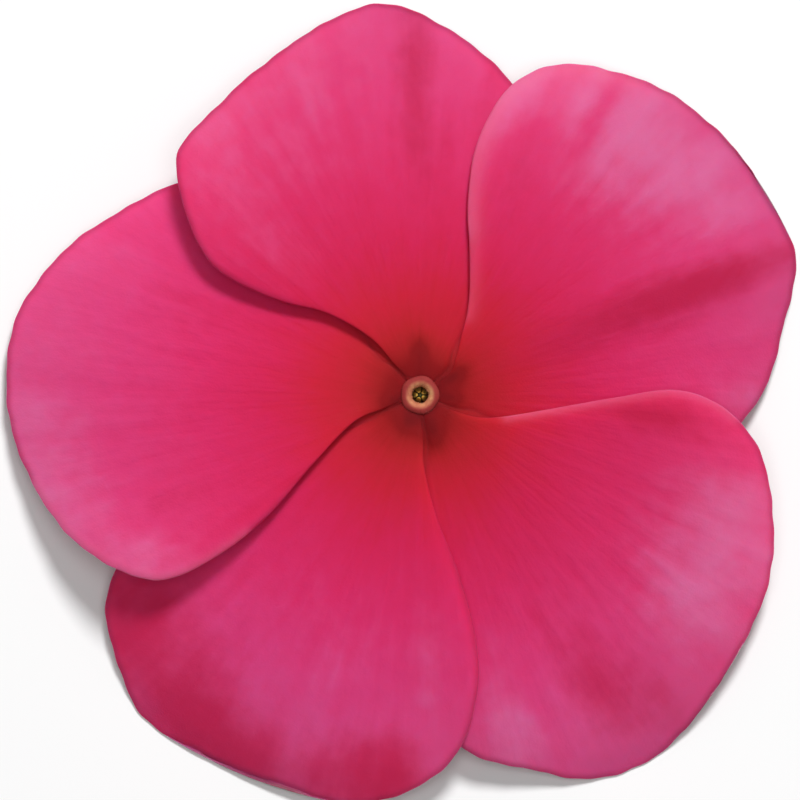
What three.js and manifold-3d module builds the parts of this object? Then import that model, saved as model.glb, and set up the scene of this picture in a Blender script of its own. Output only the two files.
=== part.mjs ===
// A picked Madagascar periwinkle flower, lying face up on a flat surface.
//
// Five petals overlap like a pinwheel and meet at a narrow throat with a cream eye. Behind them the
// petals join one slender hollow tube. The soft tube is bent under the left petal and lies along
// the surface, and its far end stands in the green calyx on a short cut stalk. Inside the tube are
// the five joined stamens and the pistil.
//
// Millimetres. +Z points up from the surface. Seen from above, +X is right and +Y is up.
// The petals are drawn round the throat's axis, and the whole flower is then moved so that the
// origin lies on the surface, under the middle of its bounding box.

import * as THREE from "three";
import { mergeVertices } from "three/addons/utils/BufferGeometryUtils.js";
import Module from "manifold-3d";

const wasm = await Module();
wasm.setup();

// Driving dimensions of the petals
const REACH = 24.5; // from the throat's axis to a typical petal tip
const LIMB_HEIGHT = 5.8; // middle of the petals' thickness at the throat, above the surface
const ARCH = 2.7; // how late a petal curves down: 2 is an even bow, 3 a flat blade, curled rim
const BLADE = 0.65; // thickness of a petal, thicker than the real 0.2
const CLIMB = 1.02; // how far a petal climbs over each fifth of a turn, so that it covers the next
const CLIMB_FROM = 2.45; // the climb starts at the claw, at this distance from the axis,
const CLIMB_TO = 3.7; // and is complete here, where the petals begin to overlap
const PRESS = 0.25; // how far a petal tip is bent flat where it meets the surface
const WAVE_HEIGHT = 0.22; // ripple of the outer rim, shared by all petals so that their gaps stay
const WAVES = 7;
const ROWS = 24; // from the claw to the tip
const COLUMNS = 16; // from edge to edge
const FIFTH = 72; // degrees

// Driving dimensions of the throat, the tube and the stalk
const COLLAR_RADIUS = 2.15; // where the petals meet the tube
const RING_INNER = 0.45; // the hole of the eye
const RING_OUTER = 1.02;
const RING_HEIGHT = 0.52;
const MOUTH_RADIUS = 0.62; // of the tube's bore under the ring
const NECK_RADIUS = 1.3; // of the tube just under the collar
const SEAT_PLAY = 0.18; // between the ring and the edge of its seat
const SEAT_DEPTH = 0.44; // of the ring's seat below the middle of the petals' thickness
const TUBE_LENGTH = 21; // from the collar to the calyx, along the tube
const STALK_LENGTH = 3.3;
const JOINT_GAP = 0.3; // between pieces that touch on the real flower
const CALYX_FLOOR = 0.6;
const SEPAL_COUNT = 5;
const SEPAL_LENGTH = 3.4;
const SEPAL_WIDTH = 1.0;
const SEPAL_THICKNESS = 0.6;
const SEPAL_SPREAD = 0.25; // how far a sepal's tip stands off the tube
const ANTHER_COUNT = 5;
const ANTHER_LENGTH = 2.1;
const ANTHER_TURN = 0.55; // distance of the anthers from the throat's axis
const FOOT_HEIGHT = LIMB_HEIGHT - 3.05; // underside of the low ring that carries the anthers
const FOOT_DEPTH = 0.35;

// The petals, clockwise from the top one. An outline starts at the claw's counter-clockwise corner,
// runs out along that edge, which lies over the next petal, round the tip, and back along the edge
// that the previous petal covers. lean lifts the covering edge. fold is a crease, raised or, below 0,
// sunk: along gives its direction, gentle and steep the width in degrees of its counter-clockwise and
// its other side.
const PETALS = [
  {
    name: "petal_1",
    direction: 98,
    lean: 0.8,
    fold: { along: 142, height: 1.6, gentle: 14, steep: 16 },
    outline: [
      [-1.57, 1.88], [-3.05, 3.5], [-5.6, 4.95], [-8.6, 5.75], [-11.3, 6.95], [-12.9, 8.3],
      [-14.2, 11.0], [-14.7, 14.7], [-12.3, 17.6], [-9.4, 20.2], [-6.1, 22.5], [-2.1, 23.9],
      [1.9, 22.2], [5.2, 19.5], [7.0, 16.2], [7.2, 12.5], [6.4, 8.9], [4.9, 6.4], [3.3, 4.6],
      [2.05, 2.75], [1.76, 1.7],
    ],
  },
  {
    name: "petal_2",
    direction: 28.5,
    lean: 0.12,
    fold: { along: 22, height: 0.7, gentle: 22, steep: 8 },
    outline: [
      [1.9, 1.54], [2.5, 3.6], [2.95, 5.6], [3.0, 8.6], [2.9, 11.8], [3.5, 15.4], [5.4, 18.7],
      [8.3, 20.1], [11.6, 19.8], [15.4, 18.3], [18.7, 15.6], [21.1, 12.2], [22.9, 8.4],
      [22.1, 3.9], [20.8, 0.0], [18.0, -3.2], [14.4, -4.1], [10.9, -3.8], [7.4, -2.7],
      [5.2, -1.9], [3.25, -0.95], [2.3, -0.84],
    ],
  },
  {
    name: "petal_3",
    direction: 312,
    lean: 0.12,
    fold: { along: 300, height: -0.35, gentle: 12, steep: 10 },
    outline: [
      [2.23, -1.02], [4.17, -1.39], [7.6, -0.9], [11.6, -0.2], [15.6, 0.3], [18.6, -0.9],
      [20.8, -3.7], [21.5, -7.8], [21.2, -11.6], [19.6, -15.2], [17.1, -19.2], [14.0, -22.3],
      [10.4, -23.4], [6.6, -22.8], [3.3, -21.9], [0.2, -19.2], [-1.1, -15.6], [-1.2, -11.9],
      [-0.6, -8.2], [0.0, -5.6], [0.5, -3.4], [0.38, -2.42],
    ],
  },
  {
    name: "petal_4",
    direction: 240,
    lean: 0.12,
    outline: [
      [0.19, -2.44], [0.25, -4.39], [1.0, -7.4], [2.3, -10.7], [3.3, -14.3], [3.5, -17.9],
      [2.3, -21.7], [-0.6, -24.1], [-4.4, -24.9], [-8.6, -23.7], [-12.8, -22.1], [-16.7, -19.8],
      [-18.5, -16.2], [-19.1, -12.4], [-17.4, -8.7], [-14.2, -5.2], [-10.6, -3.3], [-7.2, -2.5],
      [-5.2, -2.25], [-3.05, -1.55], [-2.22, -1.04],
    ],
  },
  {
    name: "petal_5",
    direction: 172,
    lean: 0.45,
    fold: { along: 215, height: 1.3, gentle: 14, steep: 16 },
    propped: 1.1, // held up by the calyx under it, so its lowest point stays this high
    outline: [
      [-2.29, -0.86], [-4.07, -1.67], [-6.6, -4.3], [-9.2, -7.3], [-12.2, -9.7], [-15.6, -11.2],
      [-19.0, -10.3], [-22.0, -7.8], [-24.2, -4.1], [-25.2, 0.2], [-24.6, 4.7], [-22.0, 8.5],
      [-18.6, 11.0], [-15.0, 12.8], [-11.4, 13.0], [-8.0, 11.0], [-5.6, 8.0], [-3.8, 4.3],
      [-2.6, 2.35], [-1.72, 1.75],
    ],
  },
];

// The middle line of the tube and stalk, from the throat down, round the bend and along the surface
const ROUTE = new THREE.CatmullRomCurve3(
  [
    [0, 0, 5.35], [0, 0, 4.2], [0, 0, 3.1], [-0.55, 0.05, 1.95], [-1.8, 0.2, 1.2],
    [-4.2, 0.5, 0.9], [-8.2, 0.9, 0.85], [-10.6, 1.1, 1.1], [-13.0, 1.15, 1.62],
    [-15.6, 1.0, 1.76], [-18.2, 0.85, 1.72], [-20.4, 0.5, 1.3], [-22.2, 0.1, 0.95],
    [-24.0, -0.5, 0.75],
  ].map((point) => new THREE.Vector3(...point)),
  false,
  "centripetal",
);
const ROUTE_LENGTH = ROUTE.getLength();

// Distance along the route from the collar, then outer and inner radius of the tube. It swells
// where the anthers sit and narrows towards the calyx.
const TUBE_PROFILE = [
  [0.2, NECK_RADIUS, MOUTH_RADIUS], [1.0, 1.55, 1.0], [2.5, 1.55, 1.02], [3.8, 1.3, 0.8],
  [5.8, 1.08, 0.58], [12, 1.0, 0.55], [TUBE_LENGTH, 0.9, 0.58],
];
// Distance along the route from the collar, then radius: stigma head with its skirt, style, ovary.
const PISTIL_PROFILE = [
  [1.4, 0.12], [1.55, 0.22], [2.05, 0.22], [2.3, 0.32], [2.45, 0.17], [17.6, 0.17],
  [18.4, 0.24], [19.6, 0.3], [TUBE_LENGTH - 0.2, 0.24],
];

const radians = THREE.MathUtils.degToRad;
const smooth = THREE.MathUtils.smoothstep;

// Degrees from one direction to another, between -180 and 180
function turnBetween(from, to) {
  return ((((to - from + 180) % 360) + 360) % 360) - 180;
}

// A BufferGeometry from a list of points and a list of triangles that index it
function meshFrom(points, triangles) {
  return new THREE.BufferGeometry()
    .setAttribute("position", new THREE.Float32BufferAttribute(points.flat(), 3))
    .setIndex(triangles.flat());
}

// A closed geometry as a solid that can be joined or cut
function solidOf(geometry) {
  const bare = geometry.clone();
  bare.deleteAttribute("normal");
  bare.deleteAttribute("uv");
  const merged = mergeVertices(bare, 1e-4);
  return new wasm.Manifold(
    new wasm.Mesh({
      numProp: 3,
      vertProperties: merged.attributes.position.array,
      triVerts: new Uint32Array(merged.index.array),
    }),
  );
}

// A solid back as a geometry
function geometryOf(solid) {
  const mesh = solid.getMesh();
  return new THREE.BufferGeometry()
    .setAttribute("position", new THREE.BufferAttribute(mesh.vertProperties, 3))
    .setIndex(new THREE.BufferAttribute(mesh.triVerts, 1));
}

function joined(geometries) {
  return geometryOf(geometries.map(solidOf).reduce((whole, piece) => whole.add(piece)));
}

// Height of the middle of a petal's thickness, before it sags: the climb over the next petal,
// the rim's ripple and the crease. turn is in fifths of a turn from the petal's middle.
function unsaggedHeight(petal, distance, angle) {
  const turn = turnBetween(petal.direction, angle) / FIFTH;
  const outward = distance / REACH;
  const climb = CLIMB * smooth(distance, CLIMB_FROM, CLIMB_TO) * turn;
  const ripple = WAVE_HEIGHT * outward ** 3 * Math.sin(radians(angle) * WAVES);
  let crease = 0;
  if (petal.fold) {
    const off = turnBetween(petal.fold.along, angle);
    const width = off > 0 ? petal.fold.gentle : petal.fold.steep;
    crease = petal.fold.height * outward ** 2 * Math.exp(-((off / width) ** 2));
  }
  return LIMB_HEIGHT + climb + ripple + crease;
}

// Share of the petal's sag at a point: it grows outwards, and is less towards the edge that lies
// on top.
function sagShare(petal, distance, angle) {
  const turn = turnBetween(petal.direction, angle) / FIFTH;
  return (1 - petal.lean * turn) * (distance / REACH) ** ARCH;
}

// A petal: rows of points on arcs round the throat, from edge to edge, ending in one point at the
// tip. It sags until its lowest point meets the surface, or what props it up.
function petalGeometry(petal) {
  const edge = new THREE.SplineCurve(petal.outline.map((p) => new THREE.Vector2(...p)));
  const polar = (point) => ({
    distance: point.length(),
    angle: turnBetween(0, THREE.MathUtils.radToDeg(Math.atan2(point.y, point.x)) - petal.direction),
  });
  const grid = [];
  for (let row = 0; row < ROWS; row += 1) {
    const share = row / ROWS / 2;
    const covering = polar(edge.getPointAt(share));
    const covered = polar(edge.getPointAt(1 - share));
    for (let column = 0; column <= COLUMNS; column += 1) {
      const across = column / COLUMNS;
      grid.push({
        distance: THREE.MathUtils.lerp(covered.distance, covering.distance, across),
        angle: THREE.MathUtils.lerp(covered.angle, covering.angle, across) + petal.direction,
      });
    }
  }
  const tip = polar(edge.getPointAt(0.5));
  grid.push({ distance: tip.distance, angle: tip.angle + petal.direction });

  const lowest = (petal.propped ?? -PRESS) + BLADE / 2;
  const sag = Math.min(
    ...grid.map(
      ({ distance, angle }) =>
        (unsaggedHeight(petal, distance, angle) - lowest) / sagShare(petal, distance, angle),
    ),
  );
  const middle = grid.map(({ distance, angle }) => [
    distance * Math.cos(radians(angle)),
    distance * Math.sin(radians(angle)),
    Math.max(
      BLADE / 2,
      unsaggedHeight(petal, distance, angle) - sag * sagShare(petal, distance, angle),
    ),
  ]);
  const count = middle.length;
  const points = [
    ...middle.map(([x, y, z]) => [x, y, z + BLADE / 2]),
    ...middle.map(([x, y, z]) => [x, y, z - BLADE / 2]),
  ];

  const at = (row, column) => row * (COLUMNS + 1) + column;
  const face = []; // triangles of the upper face, counter-clockwise from above
  for (let row = 0; row < ROWS - 1; row += 1) {
    for (let column = 0; column < COLUMNS; column += 1) {
      const [a, b] = [at(row, column), at(row, column + 1)];
      const [c, d] = [at(row + 1, column + 1), at(row + 1, column)];
      face.push([a, d, c], [a, c, b]);
    }
  }
  for (let column = 0; column < COLUMNS; column += 1) {
    face.push([at(ROWS - 1, column), count - 1, at(ROWS - 1, column + 1)]);
  }
  const rim = []; // clockwise from above, as the upper face's free edges run
  for (let column = 0; column < COLUMNS; column += 1) rim.push(at(0, column));
  for (let row = 0; row < ROWS; row += 1) rim.push(at(row, COLUMNS));
  rim.push(count - 1);
  for (let row = ROWS - 1; row > 0; row -= 1) rim.push(at(row, 0));
  const wall = rim.flatMap((a, i) => {
    const b = rim[(i + 1) % rim.length];
    return [
      [a, b, b + count],
      [a, b + count, a + count],
    ];
  });
  const underside = face.map(([a, b, c]) => [a + count, c + count, b + count]);
  return meshFrom(points, [...face, ...underside, ...wall]);
}

// Values of a profile at a distance, between its nearest two stations
function profileAt(profile, distance) {
  const next = Math.max(1, profile.findIndex(([s]) => s >= distance));
  const [from, to] = [profile[next - 1], profile[next]];
  const share = smooth(distance, from[0], to[0]);
  return from.slice(1).map((value, i) => THREE.MathUtils.lerp(value, to[i + 1], share));
}

// Rings of points round the route. Where a ring would reach below the surface it is flattened.
function ringsAlong(distances, radii, sides) {
  const frames = ROUTE.computeFrenetFrames(400, false);
  return distances.map((distance, i) => {
    const centre = ROUTE.getPointAt(distance / ROUTE_LENGTH);
    const frame = Math.round((distance / ROUTE_LENGTH) * 400);
    const [normal, binormal] = [frames.normals[frame], frames.binormals[frame]];
    return Array.from({ length: sides }, (_, k) => {
      const angle = (2 * Math.PI * (k + 0.5)) / sides;
      const point = centre
        .clone()
        .addScaledVector(normal, radii[i] * Math.cos(angle))
        .addScaledVector(binormal, radii[i] * Math.sin(angle));
      return [point.x, point.y, Math.max(0, point.z)];
    });
  });
}

// Triangles between each ring and the next; the rings go round counter-clockwise, seen from the end
function skin(ringCount, sides, start = 0) {
  const triangles = [];
  for (let ring = 0; ring < ringCount - 1; ring += 1) {
    for (let k = 0; k < sides; k += 1) {
      const [a, b] = [start + ring * sides + k, start + ring * sides + ((k + 1) % sides)];
      triangles.push([a, b, b + sides], [a, b + sides, a + sides]);
    }
  }
  return triangles;
}

function stationsOf(profile, step) {
  const [from, to] = [profile[0][0], profile[profile.length - 1][0]];
  const count = Math.ceil((to - from) / step);
  return Array.from({ length: count + 1 }, (_, i) => from + ((to - from) * i) / count);
}

// A solid rod along the route with its radius from a profile
function rodGeometry(profile, step, sides) {
  const stations = stationsOf(profile, step);
  const rings = ringsAlong(stations, stations.map((s) => profileAt(profile, s)[0]), sides);
  const points = rings.flat();
  const last = (rings.length - 1) * sides;
  const triangles = skin(rings.length, sides);
  for (let k = 1; k < sides - 1; k += 1) {
    triangles.push([0, k + 1, k], [last, last + k, last + k + 1]);
  }
  return meshFrom(points, triangles);
}

// A hollow pipe along the route, open at both ends
function pipeGeometry(profile, step, sides) {
  const stations = stationsOf(profile, step);
  const outer = ringsAlong(stations, stations.map((s) => profileAt(profile, s)[0]), sides);
  const inner = ringsAlong(stations, stations.map((s) => profileAt(profile, s)[1]), sides);
  const points = [...outer.flat(), ...inner.flat()];
  const hollow = outer.length * sides; // index of the first inner point
  const last = (outer.length - 1) * sides;
  const bore = skin(inner.length, sides, hollow).map(([a, b, c]) => [a, c, b]);
  const triangles = [...skin(outer.length, sides), ...bore];
  for (let k = 0; k < sides; k += 1) {
    const next = (k + 1) % sides;
    triangles.push([k, hollow + k, hollow + next], [k, hollow + next, next]);
    const [a, b] = [last + k, last + next];
    triangles.push([a, b, hollow + b], [a, hollow + b, hollow + a]);
  }
  return meshFrom(points, triangles);
}

// A ring turned round the Z axis from a closed profile of radius and height
function turned(profile, sides) {
  const closed = [...profile, profile[0]].map(([radius, height]) => new THREE.Vector2(radius, height));
  return new THREE.LatheGeometry(closed, sides).rotateX(Math.PI / 2);
}

// The tube with the shallow collar that the petals meet and the seat of the eye's ring
function tubeGeometry() {
  const seatRadius = RING_OUTER + SEAT_PLAY;
  const seatHeight = LIMB_HEIGHT - SEAT_DEPTH;
  const collar = turned(
    [
      [MOUTH_RADIUS, LIMB_HEIGHT - 1], [NECK_RADIUS, LIMB_HEIGHT - 1.1],
      [COLLAR_RADIUS, LIMB_HEIGHT - 0.35], [COLLAR_RADIUS, LIMB_HEIGHT + 0.2],
      [NECK_RADIUS, LIMB_HEIGHT + 0.12], [seatRadius, LIMB_HEIGHT],
      [seatRadius, seatHeight], [MOUTH_RADIUS, seatHeight],
    ],
    24,
  );
  return joined([pipeGeometry(TUBE_PROFILE, 0.9, 12), collar]);
}

// The cream ring round the hole of the eye
function ringGeometry() {
  const section = 8;
  const middle = (RING_INNER + RING_OUTER) / 2;
  const half = (RING_OUTER - RING_INNER) / 2;
  const profile = Array.from({ length: section }, (_, i) => {
    const angle = (2 * Math.PI * i) / section;
    return [middle + half * Math.cos(angle), LIMB_HEIGHT + (RING_HEIGHT / 2) * Math.sin(angle)];
  });
  return turned(profile, 20);
}

// Five anthers lean together over the stigma, on the low ring where they grow from the tube
function stamensGeometry() {
  const footTop = FOOT_HEIGHT + FOOT_DEPTH;
  const [inner, outer] = [ANTHER_TURN - 0.09, ANTHER_TURN + 0.23];
  const foot = turned(
    [[inner, FOOT_HEIGHT], [outer, FOOT_HEIGHT], [outer, footTop], [inner, footTop]],
    15,
  );
  const anthers = Array.from({ length: ANTHER_COUNT }, (_, i) =>
    new THREE.SphereGeometry(1, 8, 6)
      .rotateX(Math.PI / 2)
      .scale(0.14, 0.25, ANTHER_LENGTH / 2)
      .rotateY(-0.12)
      .translate(ANTHER_TURN, 0, footTop - 0.2 + ANTHER_LENGTH / 2)
      .rotateZ((2 * Math.PI * (i + 0.5)) / ANTHER_COUNT),
  );
  return joined([foot, ...anthers]);
}

// A narrow pointed sepal, standing up along Z from the cup's rim and leaning out towards its tip
function sepalGeometry(radius) {
  const shape = new THREE.Shape();
  shape.moveTo(-SEPAL_WIDTH / 2, 0);
  shape.lineTo(SEPAL_WIDTH / 2, 0);
  shape.quadraticCurveTo(SEPAL_WIDTH * 0.5, SEPAL_LENGTH * 0.55, 0.12, SEPAL_LENGTH);
  shape.lineTo(-0.12, SEPAL_LENGTH);
  shape.quadraticCurveTo(-SEPAL_WIDTH * 0.5, SEPAL_LENGTH * 0.55, -SEPAL_WIDTH / 2, 0);
  const blade = new THREE.ExtrudeGeometry(shape, {
    depth: SEPAL_THICKNESS,
    bevelEnabled: false,
    curveSegments: 5,
  })
    .rotateX(Math.PI / 2)
    .rotateZ(Math.PI / 2);
  const position = blade.attributes.position;
  for (let i = 0; i < position.count; i += 1) {
    const along = position.getZ(i) / SEPAL_LENGTH;
    position.setX(i, position.getX(i) + radius + SEPAL_SPREAD * along * along);
  }
  return blade;
}

// The calyx: a small cup with five sepals, one of them on its +X side. Its axis is Z and the tube
// stands in it at Z = 0.
function calyxGeometry() {
  const inner = 1.12;
  const outer = 1.65;
  const cup = new THREE.LatheGeometry(
    [
      [0, -CALYX_FLOOR - JOINT_GAP], [0.85, -CALYX_FLOOR - JOINT_GAP], [outer, -0.2], [outer, 1.1],
      [inner, 1.1], [inner, -JOINT_GAP], [0, -JOINT_GAP],
    ].map(([radius, height]) => new THREE.Vector2(radius, height)),
    20,
  ).rotateX(Math.PI / 2);
  const sepals = Array.from({ length: SEPAL_COUNT }, (_, i) =>
    sepalGeometry(inner + 0.02)
      .translate(0, 0, 0.7)
      .rotateZ((2 * Math.PI * i) / SEPAL_COUNT),
  );
  return joined([cup, ...sepals]);
}

const COLOURS = {
  petal: new THREE.MeshStandardMaterial({ color: 0xdc3470, roughness: 0.6, metalness: 0 }),
  tube: new THREE.MeshStandardMaterial({ color: 0xc98a92, roughness: 0.55, metalness: 0 }),
  eye: new THREE.MeshStandardMaterial({ color: 0xd9a878, roughness: 0.7, metalness: 0 }),
  stamens: new THREE.MeshStandardMaterial({ color: 0xb9a23c, roughness: 0.7, metalness: 0 }),
  pistil: new THREE.MeshStandardMaterial({ color: 0xa9bd6a, roughness: 0.6, metalness: 0 }),
  green: new THREE.MeshStandardMaterial({ color: 0x5f8f3a, roughness: 0.6, metalness: 0 }),
};

function piece(name, geometry, material) {
  const mesh = new THREE.Mesh(geometry, material);
  mesh.name = name;
  return mesh;
}

const flower = new THREE.Group();
for (const petal of PETALS) flower.add(piece(petal.name, petalGeometry(petal), COLOURS.petal));
flower.add(piece("corolla_tube", tubeGeometry(), COLOURS.tube));
flower.add(piece("throat_ring", ringGeometry(), COLOURS.eye));
flower.add(piece("stamens", stamensGeometry(), COLOURS.stamens));
flower.add(piece("pistil", rodGeometry(PISTIL_PROFILE, 0.45, 8), COLOURS.pistil));

// The calyx stands on the route where the tube ends, with its axis back along the tube
const calyx = piece("calyx", calyxGeometry(), COLOURS.green);
calyx.position.copy(ROUTE.getPointAt((TUBE_LENGTH + JOINT_GAP) / ROUTE_LENGTH));
const towardsThroat = ROUTE.getTangentAt(TUBE_LENGTH / ROUTE_LENGTH).negate();
const sideways = towardsThroat.clone().cross(new THREE.Vector3(0, 0, 1)).normalize();
const upwards = sideways.clone().cross(towardsThroat);
calyx.quaternion.setFromRotationMatrix(
  new THREE.Matrix4().makeBasis(upwards, sideways, towardsThroat),
);
flower.add(calyx);

const stalkTop = TUBE_LENGTH + CALYX_FLOOR + 3 * JOINT_GAP;
const stalkProfile = [
  [stalkTop, 0.78], [stalkTop + 0.9, 0.62], [stalkTop + STALK_LENGTH, 0.6],
];
flower.add(piece("pedicel", rodGeometry(stalkProfile, 0.6, 10), COLOURS.green));

// The origin goes on the surface under the middle of the bounding box
const box = new THREE.Box3().setFromObject(flower, true);
const middle = box.getCenter(new THREE.Vector3());
flower.position.set(-middle.x, -middle.y, -box.min.z);

export default new THREE.Group().add(flower);
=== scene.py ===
# %% [markdown]
# # A picked periwinkle flower, lying face up
#
# Five soft petals overlap like a pinwheel round a narrow throat with a cream eye. Behind them lies
# a slender tube, bent under the left petal, that ends in a small green calyx and a cut stalk.
#
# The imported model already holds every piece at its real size. This script gives each piece its
# finish: thin arched petals with soft rims, the fuzz of the eye, the down on the green parts, the
# colours that run from dark red at the throat to lilac pink at the margins, and the soft light.

# %% Load the frame
import math

import bpy
import mathutils
import numpy as np
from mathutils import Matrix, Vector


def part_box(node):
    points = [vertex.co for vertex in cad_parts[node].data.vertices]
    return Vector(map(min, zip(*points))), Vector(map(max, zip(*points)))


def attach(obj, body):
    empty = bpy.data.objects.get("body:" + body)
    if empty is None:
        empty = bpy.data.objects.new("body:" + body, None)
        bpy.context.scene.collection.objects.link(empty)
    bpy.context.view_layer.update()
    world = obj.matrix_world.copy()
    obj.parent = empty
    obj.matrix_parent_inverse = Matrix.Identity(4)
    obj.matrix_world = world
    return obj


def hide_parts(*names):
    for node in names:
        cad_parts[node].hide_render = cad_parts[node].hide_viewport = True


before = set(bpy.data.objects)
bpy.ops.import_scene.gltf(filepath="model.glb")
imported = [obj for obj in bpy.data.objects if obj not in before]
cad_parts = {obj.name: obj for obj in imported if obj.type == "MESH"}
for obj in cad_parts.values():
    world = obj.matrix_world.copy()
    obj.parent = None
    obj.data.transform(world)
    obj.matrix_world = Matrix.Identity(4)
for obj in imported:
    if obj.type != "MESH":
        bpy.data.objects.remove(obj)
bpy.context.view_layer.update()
MM = 0.001
ring_low, ring_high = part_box("throat_ring")
THROAT = [(low + high) / 2 for low, high in zip(ring_low, ring_high)]
print("throat at", [round(value / MM, 2) for value in THROAT], "mm")

# %% [markdown]
# ## The camera
#
# The photograph looks straight into the flower, and the flower lies face up. So the camera hangs
# above it and looks down, with the top of the picture towards +Y. A real macro lens stands close
# and bends the outline a little. A long lens from a metre away keeps the outline nearly as it
# measures, which is how the outlines were read from the photograph.

# %% Camera above the flower
PICTURE = 800  # pixels along each side of the photograph
MM_PER_PIXEL = 0.0606  # from the size of the real bloom
EYE_PIXEL = (420, 395)  # where the throat is in the photograph
CAMERA_HEIGHT = 1.0
SHARP_HEIGHT = 0.0025  # the scale holds at this height above the surface

camera_data = bpy.data.cameras.new("camera")
camera = bpy.data.objects.new("camera", camera_data)
bpy.context.collection.objects.link(camera)
camera.location = (
    THROAT[0] + (PICTURE / 2 - EYE_PIXEL[0]) * MM_PER_PIXEL * MM,
    THROAT[1] - (PICTURE / 2 - EYE_PIXEL[1]) * MM_PER_PIXEL * MM,
    SHARP_HEIGHT + CAMERA_HEIGHT,
)
frame_width = PICTURE * MM_PER_PIXEL * MM
camera_data.lens = camera_data.sensor_width * CAMERA_HEIGHT / frame_width
camera_data.clip_start = 0.01
camera_data.clip_end = 10
bpy.context.scene.camera = camera
bpy.context.scene.view_settings.view_transform = "Standard"
print("lens", round(camera_data.lens), "mm")

# %% [markdown]
# ## Sums in a node tree
#
# Both the shapes and the finishes below are formulas. In a node tree each plus and times is a Math
# node, and a formula of twenty nodes is hard to read in a script. A small class that stands for a
# number in the tree, with + - * / of its own, lets a formula be written as on paper.

# %% A number in a node tree
class Number:
    """A number that flows through a node tree."""

    def __init__(self, tree, socket):
        self.tree = tree
        self.socket = socket

    def made(self, operation, *others):
        return calculate(self.tree, operation, self, *others)

    def __add__(self, other):
        return self.made("ADD", other)

    def __sub__(self, other):
        return self.made("SUBTRACT", other)

    def __mul__(self, other):
        return self.made("MULTIPLY", other)

    def __truediv__(self, other):
        return self.made("DIVIDE", other)

    def __pow__(self, other):
        return self.made("POWER", other)

    def __neg__(self):
        return self * -1.0

    __radd__ = __add__
    __rmul__ = __mul__

    def __rsub__(self, other):
        return self * -1.0 + other


def plug(tree, socket, value):
    """Links a Number or another node's socket to a socket, or sets the socket to a plain value."""
    if isinstance(value, Number):
        value = value.socket
    if isinstance(value, bpy.types.NodeSocket):
        tree.links.new(value, socket)
    else:
        socket.default_value = value


def new_node(tree, kind, inputs, **settings):
    """A node with its settings made and its inputs plugged by name."""
    node = tree.nodes.new(kind)
    for name, value in settings.items():
        setattr(node, name, value)
    for label, value in inputs.items():
        plug(tree, node.inputs[label], value)
    return node


def calculate(tree, operation, *terms):
    node = tree.nodes.new("ShaderNodeMath")
    node.operation = operation
    for socket, term in zip(node.inputs, terms):
        plug(tree, socket, term)
    return Number(tree, node.outputs[0])


def smooth_step(value, start, end):
    """0 below start, 1 above end, and a smooth rise between them."""
    share = ((value - start) / (end - start)).made("MINIMUM", 1.0).made("MAXIMUM", 0.0)
    return share * share * (3.0 - share * 2.0)


def bell(value):
    """1 where value is 0, falling away to both sides."""
    return (-(value * value)).made("EXPONENT")


def split(tree, vector):
    """The three Numbers of a vector socket."""
    parts = new_node(tree, "ShaderNodeSeparateXYZ", {"Vector": vector})
    return [Number(tree, parts.outputs[axis]) for axis in "XYZ"]


def vector_of(tree, *values):
    """A vector socket from three Numbers or plain values."""
    node = tree.nodes.new("ShaderNodeCombineXYZ")
    for socket, value in zip(node.inputs, values):
        plug(tree, socket, value)
    return node.outputs["Vector"]


print("sums ready")

# %% [markdown]
# ## Geometry Nodes trees
#
# A tree gets named inputs, so that the sizes of one flower can be set on the modifier without
# opening the tree. Every tree ends in Realize Instances and Set Material. The result is then turned
# into a plain mesh, because a finished piece carries no live tree.
#
# Pieces are drawn in millimetres round the throat's axis, as the plans were measured, and moved to
# their place in the frame when they are done.

# %% Helpers for the trees
def new_tree(name, inputs):
    """A Geometry Nodes tree, its mesh input, its input Numbers by name, and a function to end it."""
    tree = bpy.data.node_groups.new(name, "GeometryNodeTree")
    tree.interface.new_socket("Geometry", in_out="INPUT", socket_type="NodeSocketGeometry")
    tree.interface.new_socket("Geometry", in_out="OUTPUT", socket_type="NodeSocketGeometry")
    tree.interface.new_socket("Material", in_out="INPUT", socket_type="NodeSocketMaterial")
    for label, value in inputs.items():
        socket = tree.interface.new_socket(label, in_out="INPUT", socket_type="NodeSocketFloat")
        socket.default_value = value
    source = tree.nodes.new("NodeGroupInput")
    numbers = {label: Number(tree, source.outputs[label]) for label in inputs}

    def finish(geometry):
        real = new_node(tree, "GeometryNodeRealizeInstances", {"Geometry": geometry})
        coated = new_node(tree, "GeometryNodeSetMaterial", {
            "Geometry": real.outputs["Geometry"], "Material": source.outputs["Material"],
        })
        new_node(tree, "NodeGroupOutput", {"Geometry": coated.outputs["Geometry"]})

    return tree, source.outputs["Geometry"], numbers, finish


def field(tree, name):
    """A value that the script stored on the points of the mesh."""
    node = new_node(tree, "GeometryNodeInputNamedAttribute", {"Name": name}, data_type="FLOAT")
    return Number(tree, node.outputs["Attribute"])


def position(tree):
    """The x, y and z of the mesh's points."""
    return split(tree, tree.nodes.new("GeometryNodeInputPosition").outputs["Position"])


def moved(tree, geometry, place):
    node = new_node(tree, "GeometryNodeSetPosition", {"Geometry": geometry, "Position": place})
    return node.outputs["Geometry"]


def flipped(tree, geometry):
    return new_node(tree, "GeometryNodeFlipFaces", {"Mesh": geometry}).outputs["Mesh"]


def together(tree, *geometries):
    node = tree.nodes.new("GeometryNodeJoinGeometry")
    for geometry in geometries:
        tree.links.new(geometry, node.inputs["Geometry"])
    return node.outputs["Geometry"]


def welded(tree, geometry, distance):
    """Two skins that meet along their edges become one closed skin."""
    closed = {"Geometry": geometry, "Distance": distance}
    return new_node(tree, "GeometryNodeMergeByDistance", closed).outputs["Geometry"]


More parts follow.
